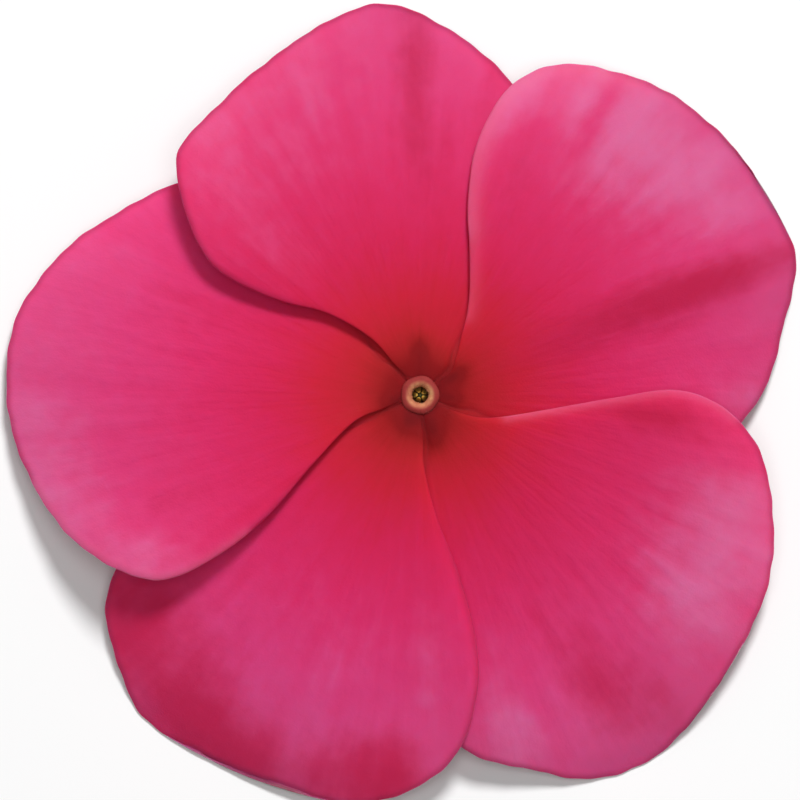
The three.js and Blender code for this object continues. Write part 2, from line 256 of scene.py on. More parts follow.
def mesh_object(name, points, faces, edges=()):
    mesh = bpy.data.meshes.new(name)
    mesh.from_pydata([tuple(map(float, point)) for point in points], list(edges), faces)
    made = bpy.data.objects.new(name, mesh)
    bpy.context.collection.objects.link(made)
    return made


def add_values(made, name, values):
    """Stores a value on each point, for a tree or a material to read."""
    attribute = made.data.attributes.new(name, "FLOAT", "POINT")
    attribute.data.foreach_set("value", np.asarray(values, np.float32))


def grown(start, tree, material, values):
    """Runs a tree on an object and returns the result as a plain mesh object."""
    modifier = start.modifiers.new("grow", "NODES")
    modifier.node_group = tree
    sockets = {item.name: item.identifier for item in tree.interface.items_tree if item.in_out == "INPUT"}
    modifier[sockets["Material"]] = material
    for label, value in values.items():
        modifier[sockets[label]] = float(value)
    bpy.context.view_layer.update()
    ready = start.evaluated_get(bpy.context.evaluated_depsgraph_get())
    mesh = bpy.data.meshes.new_from_object(ready)
    name = start.name
    bpy.data.objects.remove(start)
    mesh.name = name
    made = bpy.data.objects.new(name, mesh)
    bpy.context.collection.objects.link(made)
    for polygon in mesh.polygons:
        polygon.use_smooth = True
    print(name, len(mesh.vertices), "vertices")
    return made


def in_place(made):
    """Takes an object drawn in millimetres round the throat's axis to its place in the frame."""
    made.data.transform(
        mathutils.Matrix.Translation((THROAT[0], THROAT[1], 0)) @ mathutils.Matrix.Scale(MM, 4)
    )
    return made


def kept_above_floor(made):
    """Hairs and rims that would dip into the surface are pressed flat on it."""
    vertices = made.data.vertices
    places = np.zeros(3 * len(vertices), np.float32)
    vertices.foreach_get("co", places)
    places[2::3] = np.maximum(places[2::3], 0)
    vertices.foreach_set("co", places)


def settle(made, nodes):
    """The finished piece is moved into place, kept above the floor and hung on the root body, and stands
    for its CAD nodes, which are hidden.
    """
    in_place(made)
    kept_above_floor(made)
    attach(made, "root")
    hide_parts(*nodes)


print("helpers ready")

# %% [markdown]
# ## Nodes for finishes
#
# Every finish below is a Principled shader with formulas on Object coordinates, on the piece's own
# UV map, or on values stored on its points. Noise gives all of them their unevenness, because no
# living surface has one flat colour.

# %% Helpers for finishes
def linear(red, green, blue):
    """A colour as seen on a screen, 0 to 255, as the light values that a shader needs."""
    def channel(value):
        share = value / 255
        return share / 12.92 if share <= 0.04045 else ((share + 0.055) / 1.055) ** 2.4
    return (channel(red), channel(green), channel(blue), 1.0)


def shader(name):
    """A material, its tree, and its Principled shader."""
    material = bpy.data.materials.new(name)
    material.use_nodes = True
    tree = material.node_tree
    tree.nodes.clear()
    principled = tree.nodes.new("ShaderNodeBsdfPrincipled")
    output = tree.nodes.new("ShaderNodeOutputMaterial")
    tree.links.new(principled.outputs["BSDF"], output.inputs["Surface"])
    return material, tree, principled


def noise(tree, vector, scale, detail=2.0, roughness=0.5):
    """Noise round 0, between about -0.5 and 0.5."""
    node = new_node(tree, "ShaderNodeTexNoise", {
        "Vector": vector, "Scale": scale, "Detail": detail, "Roughness": roughness,
    })
    return Number(tree, node.outputs["Fac"]) - 0.5


def stretched(tree, vector, scale):
    return new_node(tree, "ShaderNodeMapping", {"Vector": vector, "Scale": scale}).outputs["Vector"]


def blended(tree, share, first, second):
    """One colour turning into another; each is a socket or a plain colour."""
    node = new_node(tree, "ShaderNodeMix", {"Factor": share}, data_type="RGBA")
    colour_sockets = [socket for socket in node.inputs if socket.type == "RGBA"]
    for socket, colour in zip(colour_sockets, (first, second)):
        plug(tree, socket, colour)
    return [socket for socket in node.outputs if socket.type == "RGBA"][0]


def ramp(tree, share, stops):
    """A colour from a list of positions between 0 and 1, each with a colour as seen on a screen."""
    node = new_node(tree, "ShaderNodeValToRGB", {"Fac": share})
    elements = node.color_ramp.elements
    while len(elements) > 1:
        elements.remove(elements[0])
    elements[0].position = stops[0][0]
    elements[0].color = linear(*stops[0][1])
    for place, colour in stops[1:]:
        elements.new(place).color = linear(*colour)
    return node.outputs["Color"]


def brightened(tree, colour, factor):
    """A colour with its light values multiplied by a Number."""
    inputs = {"Vector": colour, "Scale": factor}
    return new_node(tree, "ShaderNodeVectorMath", inputs, operation="SCALE").outputs["Vector"]


BUMP_STRENGTH = 0.6


def bumped(tree, principled, height, distance):
    """Relief from a height, as deep in metres as the distance says where the height is 1."""
    inputs = {"Strength": BUMP_STRENGTH, "Distance": distance, "Height": height}
    node = new_node(tree, "ShaderNodeBump", inputs)
    tree.links.new(node.outputs["Normal"], principled.inputs["Normal"])


def stored(tree, name):
    """A value that the script stored on the points of the piece."""
    node = new_node(tree, "ShaderNodeAttribute", {}, attribute_name=name)
    return Number(tree, node.outputs["Fac"])


def coordinates(tree, kind="Object"):
    return tree.nodes.new("ShaderNodeTexCoord").outputs[kind]


def round_throat(tree):
    """Distance from the throat's axis in millimetres, and height above the surface."""
    x, y, z = split(tree, coordinates(tree))
    x, y = x - THROAT[0], y - THROAT[1]
    return (x * x + y * y).made("SQRT") / MM, z / MM


def set_inputs(node, values):
    for label, value in values.items():
        node.inputs[label].default_value = value


print("finish helpers ready")

# %% [markdown]
# ## The petals' velvet
#
# On the real flower the colour is in the outermost cells, which stand up as tiny cones. They
# deepen the colour and give velvet its soft light edge. A dark red zone surrounds the eye. Outwards
# it turns crimson, then rose, and lilac pink towards the margins, with soft broken streaks that run
# from the claw to the rim. Thin tissue lets some of the light through, so a petal's shadow is red.
#
# The colour could be painted on an image, but a formula keeps its sharpness at any size. The
# distance from the throat comes from Object coordinates. The petal's own UV map holds the turn
# round the throat in U and the distance in V, so that noise stretched along V makes the streaks.
# Values stored on each petal's points say how near the rim is, how lilac or deep red the spot is,
# with painted shade among the deep red in some creases and on a curled rim, how much painted light
# brightens or darkens the spot to even out the window's shading, where a painted highlight lies
# along the covering edge, and where the arms of the dark star round the eye reach, three of them
# painted shade in the seams between petals.

# %% The velvet of the petals
PETAL_RAMP = [  # distance from the throat's axis in millimetres, then colour
    (0.3, (104, 12, 18)), (1.2, (136, 19, 23)), (1.9, (140, 19, 23)), (2.6, (162, 27, 31)),
    (3.8, (185, 31, 42)), (6.0, (202, 31, 58)), (9.5, (212, 34, 84)), (13.0, (218, 42, 99)),
    (18.0, (223, 58, 116)), (24.0, (225, 74, 129)),
]
RAMP_END = 25.0
FINE_STREAKS = (26, 5, 1)  # how closely noise is packed across a petal and along it
BROAD_STREAKS = (13, 1.8, 1)
MOTTLE = (17, 15, 1)
CLOUDS = 260  # how many specks to a metre the unstretched noise has
CONES = 9000
RELIEF_DEPTH = 0.00018
# The dark line along a rim is painted shade.
RIM_SHADE_WIDTH = 0.26  # of the dark line along a rim
LILAC = linear(226, 110, 160)
# Deep red: the petals' own colour, and painted shade where a tint lies along a crease or a curled rim.
DEEP_RED_AND_SHADE = linear(186, 28, 72)
# Colour of the painted shade along the rims.
RIM_SHADE_COLOUR = linear(128, 34, 70)
# Colour of the painted highlight along the covering edges, which roll up towards the light.
RIM_HIGHLIGHT_COLOUR = linear(232, 116, 152)


def petal_velvet():
    material, tree, principled = shader("petal_velvet")
    distance, _ = round_throat(tree)
    petal_map = coordinates(tree, "UV")

    clouds = noise(tree, coordinates(tree), CLOUDS, 3.0)
    fine, broad, mottle = (
        noise(tree, stretched(tree, petal_map, scale), 1.0)
        for scale in (FINE_STREAKS, BROAD_STREAKS, MOTTLE)
    )
    streak = fine * 0.4 + broad * 0.8 + mottle * 0.7
    reach = distance * (streak * 0.3 + 1.0) + clouds * 2.0
    near = smooth_step(distance, 1.5, 4.0)
    # The star's arms draw the colour back towards the throat's dark red; those in the seams between
    # petals are painted shade.
    reach = reach * near + distance * (1.0 - near) - stored(tree, "star_and_seam_shade")
    base = ramp(tree, reach / RAMP_END, [(mm / RAMP_END, colour) for mm, colour in PETAL_RAMP])

    tint_and_shade = stored(tree, "tint_and_shade") + (clouds * 0.4 + streak * 0.5) * smooth_step(distance, 5.0, 16.0)
    colour = blended(tree, smooth_step(tint_and_shade, 0.05, 1.0) * 0.9, base, LILAC)
    # Deep red where a tint is below 0: partly the petal's own colour, partly painted shade in creases and
    # on a curled rim.
    colour = blended(tree, smooth_step(-tint_and_shade, 0.05, 1.0) * 0.9, colour, DEEP_RED_AND_SHADE)
    rim, painted_edge_highlight = stored(tree, "rim"), stored(tree, "painted_edge_highlight")
    # A painted highlight along the covering edges, which roll up towards the light.
    colour = blended(tree, painted_edge_highlight, colour, RIM_HIGHLIGHT_COLOUR)
    unless_highlight = (0.55 - painted_edge_highlight).made("MAXIMUM", 0.0)
    # A thin dark line of painted shade along the rims, away from the throat and not where the highlight
    # lies.
    painted_rim_shade = bell(rim / RIM_SHADE_WIDTH) * smooth_step(distance, 6.0, 12.0) * unless_highlight
    colour = blended(tree, painted_rim_shade, colour, RIM_SHADE_COLOUR)
    # Painted light: each petal is made brighter or darker towards its tip, and in spots, to even out the
    # window's shading on its slopes.
    tree.links.new(brightened(tree, colour, stored(tree, "painted_light_tone")), principled.inputs["Base Color"])

    cones = noise(tree, coordinates(tree), CONES, 1.0)
    relief = (fine * 0.5 + broad * 0.8 + mottle * 0.6) * smooth_step(distance, 2.0, 12.0)
    bumped(tree, principled, relief + cones * 0.12, RELIEF_DEPTH)
    set_inputs(principled, {
        "Roughness": 0.7,
        "Specular IOR Level": 0.08,
        "Sheen Weight": 0.03,
        "Sheen Roughness": 0.4,
        "Sheen Tint": (1.0, 0.5, 0.75, 1.0),
        "Subsurface Weight": 0.7,
        "Subsurface Scale": 0.0011,
        "Subsurface Radius": (1.0, 0.14, 0.24),
    })
    return material


PETAL_VELVET = petal_velvet()
print("petal velvet ready")

# %% [markdown]
# ## The petals
#
# A periwinkle petal is a broad, lopsided blade: a narrow claw at the throat, one long edge that
# lies over the next petal and one that the petal before it covers. Its plan is drawn from
# the photograph. Its height follows a rule: each petal climbs as it turns round the throat, so
# that it passes over its neighbour, and it bows down outwards until it rests on the surface or on
# what is under it. On the real flower the five are one piece of tissue at the throat. Here they are
# five blades, which run into each other there, out to 2.4 mm from the throat's axis.
#
# The plan could be lifted point by point in the script. A Geometry Nodes tree does it with named
# inputs instead, so each petal's own lean, fold and prop are numbers on its modifier. The tree also
# gives the blade its thickness: it lays a second skin under the first and closes both at the rim.

# %% Outlines of the petals
REACH = 24.5  # millimetres from the throat's axis to a typical tip
FIFTH = 72  # degrees
LIMB_HEIGHT = 5.8  # middle of the blades at the throat, above the surface
ARCH = 2.7  # how late the blade bows down: 2 is an even bow, 3 a flat blade with a curled rim
BLADE = 0.24
PRESS = 0.05  # how far a tip is bent flat where it meets the surface

# A petal's lean lifts its covering edge. A propped petal rests on what lies under it, at this height.
# A fold is its direction, its height and its width on the counter-clockwise and on the other side.
# A tint is a direction, a distance, a length, a width and an amount, lilac above 0 and deep red
# below; the deep red tints along the creases of petals 2 and 3 and along petal 4's curled rim are
# painted shade. A painted highlight on the covering edge is a stretch of that edge, from 0 at the
# claw to 1 at the tip, its width and its amount. The petal's tone is painted light: it says how much
# brighter the petal gets towards its tip, on the side away from the window, or darker, on the side
# towards it, to even out the window's shading. A painted light spot is a painted brighter spot, or
# below 0 a painted darker one, in the same five numbers as a tint.
PETALS = [
    {
        "name": "petal_1",
        "direction": 98,
        "painted_light_tone": -0.08,
        "lean": 0.8,
        "fold": (142, 1.6, 14, 16),
        "outline": [
            (-1.57, 1.88), (-3.05, 3.5), (-5.6, 4.95), (-8.6, 5.75), (-11.3, 6.95),
            (-12.9, 8.3), (-14.2, 11.0), (-14.7, 14.7), (-12.3, 17.6), (-9.4, 20.2),
            (-6.1, 22.5), (-2.1, 23.9), (1.9, 22.2), (5.2, 19.5), (7.0, 16.2), (7.2, 12.5),
            (6.4, 8.9), (4.9, 6.4), (3.3, 4.6), (2.05, 2.75), (1.76, 1.7),
        ],
        "tints_and_shade": [
            (126, 19, 6, 5, 0.35), (105, 21, 4, 4, 0.2), (91, 19, 8, 1.5, -0.65),
            (74, 19, 7, 3, -0.25), (135, 12, 3, 2, 0.15),
        ],
        "painted_light_spots": [],
        "painted_edge_highlight": [],
    },
    {
        "name": "petal_2",
        "direction": 28.5,
        "painted_light_tone": -0.05,
        "lean": 0.12,
        "fold": (22, 0.7, 22, 8),
        "outline": [
            (1.9, 1.54), (2.5, 3.6), (2.95, 5.6), (3.0, 8.6), (2.9, 11.8), (3.5, 15.4),
            (5.4, 18.7), (8.3, 20.1), (11.6, 19.8), (15.4, 18.3), (18.7, 15.6), (21.1, 12.2),
            (22.9, 8.4), (22.1, 3.9), (20.8, 0.0), (18.0, -3.2), (14.4, -4.1), (10.9, -3.8),
            (7.4, -2.7), (5.2, -1.9), (3.25, -0.95), (2.3, -0.84),
        ],
        "tints_and_shade": [
            (56, 20.5, 4.4, 5.4, 0.85), (34, 22, 3.6, 4.5, 0.6), (72, 20, 4, 2, 0.6),
            (66, 16.5, 5, 1.4, -0.6), (57.5, 20.3, 3, 0.7, -0.8), (21.5, 19.5, 7, 1.6, -1.0),
            (22, 11, 6, 1.5, -0.5), (-2, 20, 2.5, 2, 0.5),
        ],
        "painted_light_spots": [(3, 17, 6, 4, 0.08), (50, 20, 6, 5, -0.05)],
        "painted_edge_highlight": [(0.28, 0.75, 0.9, 0.24), (0.14, 0.7, 0.6, 0.2)],
    },
    {
        "name": "petal_3",
        "direction": 312,
        "painted_light_tone": 0.1,
        "lean": 0.12,
        "fold": (300, -0.35, 12, 10),
        "outline": [
            (2.23, -1.02), (4.17, -1.39), (7.6, -0.9), (11.6, -0.2), (15.6, 0.3), (18.6, -0.9),
            (20.8, -3.7), (21.5, -7.8), (21.2, -11.6), (19.6, -15.2), (17.1, -19.2),
            (14.0, -22.3), (10.4, -23.4), (6.6, -22.8), (3.3, -21.9), (0.2, -19.2),
            (-1.1, -15.6), (-1.2, -11.9), (-0.6, -8.2), (0.0, -5.6), (0.5, -3.4), (0.38, -2.42),
        ],
        "tints_and_shade": [
            (338, 20.5, 4, 4.5, 0.65), (322, 21, 4, 3.5, 0.5), (356, 14, 5, 1.6, -0.8),
            (350, 19, 3, 1, -0.4), (301, 20.5, 5, 2.4, -0.65), (285, 21, 4, 2.2, 0.5),
            (309, 23.5, 3, 1.5, -0.35),
        ],
        "painted_light_spots": [(296, 20, 6, 6, 0.23), (345, 17, 7, 5, -0.1)],
        "painted_edge_highlight": [(0.12, 0.5, 0.4, 0.35)],
    },
    {
        "name": "petal_4",
        "direction": 240,
        "painted_light_tone": 0.27,
        "lean": 0.12,
        "outline": [
            (0.19, -2.44), (0.25, -4.39), (1.0, -7.4), (2.3, -10.7), (3.3, -14.3), (3.5, -17.9),
            (2.3, -21.7), (-0.6, -24.1), (-4.4, -24.9), (-8.6, -23.7), (-12.8, -22.1),
            (-16.7, -19.8), (-18.5, -16.2), (-19.1, -12.4), (-17.4, -8.7), (-14.2, -5.2),
            (-10.6, -3.3), (-7.2, -2.5), (-5.2, -2.25), (-3.05, -1.55), (-2.22, -1.04),
        ],
        "tints_and_shade": [
            (248, 17, 5, 4, 0.25), (218, 21.5, 4.6, 7, -0.8), (240, 24.7, 2.9, 6, -0.95),
            (264, 23.5, 3.2, 4, -0.9), (272, 18, 5, 1, 0.3),
        ],
        "painted_light_spots": [(250, 17.5, 7, 7, 0.2), (222, 21, 4, 5, 0.14)],
        "painted_edge_highlight": [],
    },
    {
        "name": "petal_5",
        "direction": 172,
        "painted_light_tone": 0.18,
        "lean": 0.45,
        "fold": (215, 1.3, 14, 16),
        "propped": 1.1,
        "outline": [
            (-2.29, -0.86), (-4.07, -1.67), (-6.6, -4.3), (-9.2, -7.3), (-12.2, -9.7),
            (-15.6, -11.2), (-19.0, -10.3), (-22.0, -7.8), (-24.2, -4.1), (-25.2, 0.2),
            (-24.6, 4.7), (-22.0, 8.5), (-18.6, 11.0), (-15.0, 12.8), (-11.4, 13.0),
            (-8.0, 11.0), (-5.6, 8.0), (-3.8, 4.3), (-2.6, 2.35), (-1.72, 1.75),
        ],
        "tints_and_shade": [
            (214, 19.5, 3, 4.5, 0.5), (198, 23, 3, 5, 0.45), (182, 24.5, 2.5, 4, 0.35),
            (160, 22, 4, 4, 0.15),
            (203, 17, 4, 1, -0.5), (160, 15, 6, 1.5, -0.3), (182, 12, 5, 1.5, -0.25),
        ],
        "painted_light_spots": [(176, 13, 7, 5, 0.06)],
        "painted_edge_highlight": [(0.35, 0.8, 0.4, 0.3)],
    },
]
# The dark star round the eye: arms along the petals' middles are its own colour; the arms at 355, 288 and
# 192 degrees lie in the seams between petals and are painted shade.
STAR_AND_SEAM_SHADE_ARMS = [  # of the dark star round the eye, in the same five numbers as a tint
    (90, 2.8, 1.2, 0.5, 1.4), (29, 2.5, 1.0, 0.6, 1.5), (355, 2.0, 0.7, 0.4, 1.0),
    (288, 2.5, 1.1, 0.8, 1.6), (246, 1.9, 0.7, 0.6, 1.0), (192, 1.8, 0.7, 0.5, 0.9),
]
print(len(PETALS), "petals")

# %% Plans of the petals
PLAN_ROWS = 120
PLAN_COLUMNS = 64
EDGE_DENSITY = 0.8  # 0 spaces the columns evenly; nearer 1 crowds them towards the two edges
CLAW_START = 1.12  # the petals begin at this distance from the throat's axis, by the eye's lip
TUCK = 22  # degrees that the covered edge reaches further under its neighbour near the throat
TUCK_END = 7.0  # and the distance where that ends
FIT = 0.999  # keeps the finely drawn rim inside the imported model's coarser one
RAGGED = 0.006  # how far the rim wavers inwards, as a share of its distance from the throat
CURVE_STEPS = 60  # fine steps between two points of an outline
# The tone is painted light that evens out the window's shading on the petals.
PAINTED_LIGHT_RISE = 1.5  # how the tone grows towards the tip: 1 is evenly, more is later


def curve_through(points, count, knot_power=0.0):
    """Points at equal steps along a smooth curve through the inner points, and their distances.

    The first and the last point only give the direction in which the curve starts and ends.
    """
    points = np.array(points, float)
    knots = np.linalg.norm(np.diff(points, axis=0), axis=1) ** knot_power
    stretches = len(points) - 3
    place = np.linspace(0, stretches, CURVE_STEPS * stretches + 1)
    index = np.minimum(place.astype(int), stretches - 1)
    share = (place - index)[:, None]
    before, start, end, after = (points[index + step] for step in range(4))
    first, middle, last = (knots[index + step][:, None] for step in range(3))
    direct = (end - start) / middle
    leaving = ((start - before) / first - (end - before) / (first + middle) + direct) * middle
    arriving = (direct - (after - start) / (middle + last) + (after - end) / last) * middle
    curve = (
        (2 * start - 2 * end + leaving + arriving) * share**3
        + (3 * end - 3 * start - 2 * leaving - arriving) * share**2
        + leaving * share
        + start
    )
    steps = np.linalg.norm(np.diff(curve, axis=0), axis=1)
    travelled = np.concatenate([[0], np.cumsum(steps)])
    wanted = np.linspace(0, travelled[-1], count)
    return np.stack([np.interp(wanted, travelled, axis) for axis in curve.T], axis=1), wanted


def half_turned(degrees):
    """The same direction, between -180 and 180 degrees."""
    return (degrees + 180) % 360 - 180


def around(petal, point):
    """A point's distance from the throat and its turn from the petal's middle, in degrees."""
    angle = math.degrees(math.atan2(point[1], point[0])) - petal["direction"]
    return math.hypot(*point), half_turned(angle)


def with_claw(outline):
    """The outline carried in to the eye, where all five petals are one."""
    corners = np.array([outline[0], outline[-1]], float)
    corners *= CLAW_START / np.hypot(*corners.T)[:, None]
    first, last = tuple(corners[0]), tuple(corners[1])
    return [first, first, *outline, last, last]


def wavering(edge, travelled, phase):
    """The edge drawn in a little here and there, as no petal is cut with a knife."""
    waver = np.sin(travelled * 2.1 + phase) + np.sin(travelled * 3.7 + 2 * phase)
    waver += np.sin(travelled * 0.9 + 3 * phase)
    return edge * (FIT - RAGGED * (waver + 3) / 6)[:, None]


def petal_plan(petal):
    """A flat grid of the petal: points, faces, each point's turn and distance, and its edge."""
    edge, travelled = curve_through(with_claw(petal["outline"]), 2 * PLAN_ROWS + 1)
    edge = wavering(edge, travelled, petal["direction"])
    even = np.linspace(0, 1, PLAN_COLUMNS + 1)
    shares = even - EDGE_DENSITY * np.sin(2 * np.pi * even) / (2 * np.pi)
    points, turns = [], []
    for row in range(PLAN_ROWS):
        far_covering, turn_covering = around(petal, edge[row])
        far_covered, turn_covered = around(petal, edge[-1 - row])
        turn_covered -= TUCK * max(0, 1 - far_covered / TUCK_END)
        for share in shares:
            far = far_covered + (far_covering - far_covered) * share
            turn = turn_covered + (turn_covering - turn_covered) * share
            angle = math.radians(turn + petal["direction"])
            points.append((far * math.cos(angle), far * math.sin(angle), 0))
            turns.append((turn / FIFTH, far / REACH))
    far, turn = around(petal, edge[PLAN_ROWS])
    points.append((*edge[PLAN_ROWS], 0))
    turns.append((turn / FIFTH, far / REACH))
    width = PLAN_COLUMNS + 1
    faces = [
        (row * width + column, (row + 1) * width + column, (row + 1) * width + column + 1,
         row * width + column + 1)
        for row in range(PLAN_ROWS - 1)
        for column in range(PLAN_COLUMNS)
    ]
    last = (PLAN_ROWS - 1) * width
    faces += [(last + column, len(points) - 1, last + column + 1) for column in range(PLAN_COLUMNS)]
    return np.array(points), faces, turns, edge


def spots(table, points):
    """The sum of soft spots, each a direction, a distance, a length, a width and an amount."""
    distance = np.hypot(points[:, 0], points[:, 1])
    angle = np.degrees(np.arctan2(points[:, 1], points[:, 0]))
    total = np.zeros(len(points))
    for direction, far, length, width, amount in table:
        aside = distance * np.radians(half_turned(angle - direction))
        total += amount * np.exp(-(((distance - far) / length) ** 2) - (aside / width) ** 2)
    return total


def painted_light_factor(petal, points):
    """The factor of painted light on the brightness at each point: the petal's tone towards its tip and
    its brighter and darker spots, which even out the window's shading.
    """
    outward = np.hypot(points[:, 0], points[:, 1]) / REACH
    return 1 + petal["painted_light_tone"] * outward**PAINTED_LIGHT_RISE + spots(petal["painted_light_spots"], points)


def distance_to(points, line):
    """Each point's distance from a line of points."""
    nearest = np.full(len(points), np.inf)
    for corner, step in zip(line[:-1], np.diff(line, axis=0)):
        offset = points[:, :2] - corner
        share = np.clip(offset @ step / (step @ step), 0, 1)
        nearest = np.minimum(nearest, np.hypot(*(offset - share[:, None] * step).T))
    return nearest


def edge_highlight_share(petal, points, edge):
    """How strongly the painted highlight along the covering edge lies on each point."""
    total = np.zeros(len(points))
    for start, end, width, amount in petal["painted_edge_highlight"]:
        stretch = edge[int(start * PLAN_ROWS) : int(end * PLAN_ROWS)]
        total += amount * np.exp(-((distance_to(points, stretch) / width) ** 2))
    return total


print("plans ready")

# %% The tree that arches a petal
def petal_tree():
    tree, plan, given, finish = new_tree("arch_petal", {
        "Direction": 0, "Lean": 0.1, "Lowest": 0, "Fold angle": 0, "Fold height": 0,
        "Fold gentle": 10, "Fold steep": 10, "Limb height": LIMB_HEIGHT, "Climb": 0.8,
        "Climb from": 0.9, "Climb to": 5.0, "Dip": 0.14, "Dip from": 0.8, "Dip end": 2.3,
        "Wave height": 0.22, "Waves": 7, "Pucker": 0.2, "Rim curl": 0.12, "Curl width": 0.9,
        "Curl from": 5.0, "Curl full": 12.0, "Press softness": 0.12, "Blade": BLADE,
        "Rim width": 0.5, "Reach": REACH, "Arch": ARCH, "Seed": 0,
    })
    x, y, _ = position(tree)
    facing = given["Direction"].made("RADIANS")
    cosine, sine = facing.made("COSINE"), facing.made("SINE")
    turned = calculate(tree, "ARCTAN2", y * cosine - x * sine, x * cosine + y * sine)
    degrees = turned.made("DEGREES")
    turn = degrees / FIFTH
    distance = (x * x + y * y).made("SQRT")
    outward = distance / given["Reach"]
    rim = field(tree, "rim")

    climb = given["Climb"] * smooth_step(distance, given["Climb from"], given["Climb to"]) * turn
    waves = ((turned + facing) * given["Waves"]).made("SINE")
    ripple = given["Wave height"] * outward**3 * waves
    off_fold = degrees - given["Fold angle"]
    gentle_side = off_fold.made("GREATER_THAN", 0.0)
    fold_width = given["Fold steep"] + (given["Fold gentle"] - given["Fold steep"]) * gentle_side
    fold = given["Fold height"] * outward**2 * bell(off_fold / fold_width)
    dip = given["Dip"] * (1.0 - smooth_step(distance, given["Dip from"], given["Dip end"]))
    height = given["Limb height"] + climb + ripple + fold - dip
    share = (1.0 - given["Lean"] * turn) * outward ** given["Arch"]

    room = (height - given["Lowest"] - given["Blade"] / 2) / share
    spread = new_node(tree, "GeometryNodeAttributeStatistic", {"Geometry": plan, "Attribute": room})
    sag = Number(tree, spread.outputs["Min"])
    spot = vector_of(tree, turn * 7.0, outward * 3.0, given["Seed"])
    pucker = noise(tree, spot, 1.0, 2.0)
    curl = given["Rim curl"] * bell(rim / given["Curl width"])
    curl = curl * smooth_step(distance, given["Curl from"], given["Curl full"])
    free = height - sag * share + pucker * given["Pucker"] * outward**2 - curl
    above = free - given["Blade"] / 2
    pressed = (above + (above * above + given["Press softness"] ** 2).made("SQRT")) / 2
    middle = pressed + given["Blade"] / 2

    flank = 1.0 - (rim / given["Rim width"]).made("MINIMUM", 1.0)
    thickness = given["Blade"] * (1.0 - flank * flank).made("MAXIMUM", 0.0).made("SQRT")
    skins = []
    for side in (0.5, -0.5):
        skins.append(moved(tree, plan, vector_of(tree, x, y, middle + thickness * side)))
    closed = welded(tree, together(tree, skins[0], flipped(tree, skins[1])), 0.0005)
    finish(closed)
    return tree


ARCH_PETAL = petal_tree()
print("petal tree has", len(ARCH_PETAL.nodes), "nodes")

# %% Grow the petals
SEED_STEP = 7.3  # sets the petals apart in the noise, so each is puckered in its own way

for number, petal in enumerate(PETALS):
    points, faces, turns, edge = petal_plan(petal)
    plan = mesh_object(petal["name"] + "_blade", points, faces)
    layer = plan.data.uv_layers.new(name="petal_map")
    corners = np.array([turns[loop.vertex_index] for loop in plan.data.loops], np.float32)
    layer.data.foreach_set("uv", corners.ravel())
    add_values(plan, "rim", distance_to(points, np.concatenate([edge, edge[:1]])))
    # Tints: the petal's own lilac and deep red, with painted shade in some creases and on a curled rim.
    add_values(plan, "tint_and_shade", spots(petal["tints_and_shade"], points))
    # Arms of the dark star, three of them painted shade in the seams between petals.
    add_values(plan, "star_and_seam_shade", spots(STAR_AND_SEAM_SHADE_ARMS, points))
    # Painted light that evens out the window's shading.
    add_values(plan, "painted_light_tone", painted_light_factor(petal, points))
    # The painted highlight along the covering edge.
    add_values(plan, "painted_edge_highlight", edge_highlight_share(petal, points, edge))
    along, height, gentle, steep = petal.get("fold", (petal["direction"], 0, 10, 10))
    blade = grown(plan, ARCH_PETAL, PETAL_VELVET, {
        "Direction": petal["direction"],
        "Lean": petal["lean"],
        "Lowest": petal.get("propped", -PRESS),
        "Fold angle": half_turned(along - petal["direction"]),
        "Fold height": height,
        "Fold gentle": gentle,
        "Fold steep": steep,
        "Seed": number * SEED_STEP,
    })
    settle(blade, [petal["name"]])

# %% [markdown]
# ## Copies round an axis, down, and sweeps
#
# Three more trees serve the small pieces. One sets copies of a piece round the Z axis, as the five
# anthers and the five sepals stand. One grows short hairs out of a surface: the fuzz of the eye and
# the down of the green parts. Each hair is a cone of a few faces, since there are hundreds. One
# sweeps a circle along a path, with the radius stored on each point: the tube, the pistil and the
# stalk all follow such a path.

# %% Trees for copies, down and sweeps
def copies_tree():
    tree, one, given, finish = new_tree("copies_round_axis", {"Count": 5, "Start turn": 0})
    points = new_node(tree, "GeometryNodePoints", {"Count": given["Count"]})
    index = Number(tree, tree.nodes.new("GeometryNodeInputIndex").outputs["Index"])
    turn = (index / given["Count"] * 360 + given["Start turn"]).made("RADIANS")
    place = new_node(tree, "GeometryNodeInstanceOnPoints", {
        "Points": points.outputs["Points"], "Instance": one, "Rotation": vector_of(tree, 0, 0, turn),
    })
    finish(place.outputs["Instances"])
    return tree


def down_tree():
    tree, skin, given, finish = new_tree("downy_skin", {
        "Per mm2": 4, "Length": 0.2, "Root": 0.02, "Uneven": 0.5, "Seed": 1,
    })
    scatter = new_node(tree, "GeometryNodeDistributePointsOnFaces", {
        "Mesh": skin, "Density": given["Per mm2"], "Seed": given["Seed"],
    })
    hair = new_node(tree, "GeometryNodeMeshCone", {
        "Vertices": 4, "Radius Bottom": given["Root"], "Radius Top": 0.0, "Depth": given["Length"],
    })
    size = new_node(tree, "FunctionNodeRandomValue", {}, data_type="FLOAT")
    smallest, largest = [item for item in size.inputs if item.type == "VALUE"][:2]
    plug(tree, smallest, 1.0 - given["Uneven"])
    plug(tree, largest, 1.0 + given["Uneven"])
    scale = [item for item in size.outputs if item.type == "VALUE"][0]
    place = new_node(tree, "GeometryNodeInstanceOnPoints", {
        "Points": scatter.outputs["Points"], "Instance": hair.outputs["Mesh"],
        "Rotation": scatter.outputs["Rotation"], "Scale": scale,
    })
    finish(together(tree, skin, place.outputs["Instances"]))
    return tree


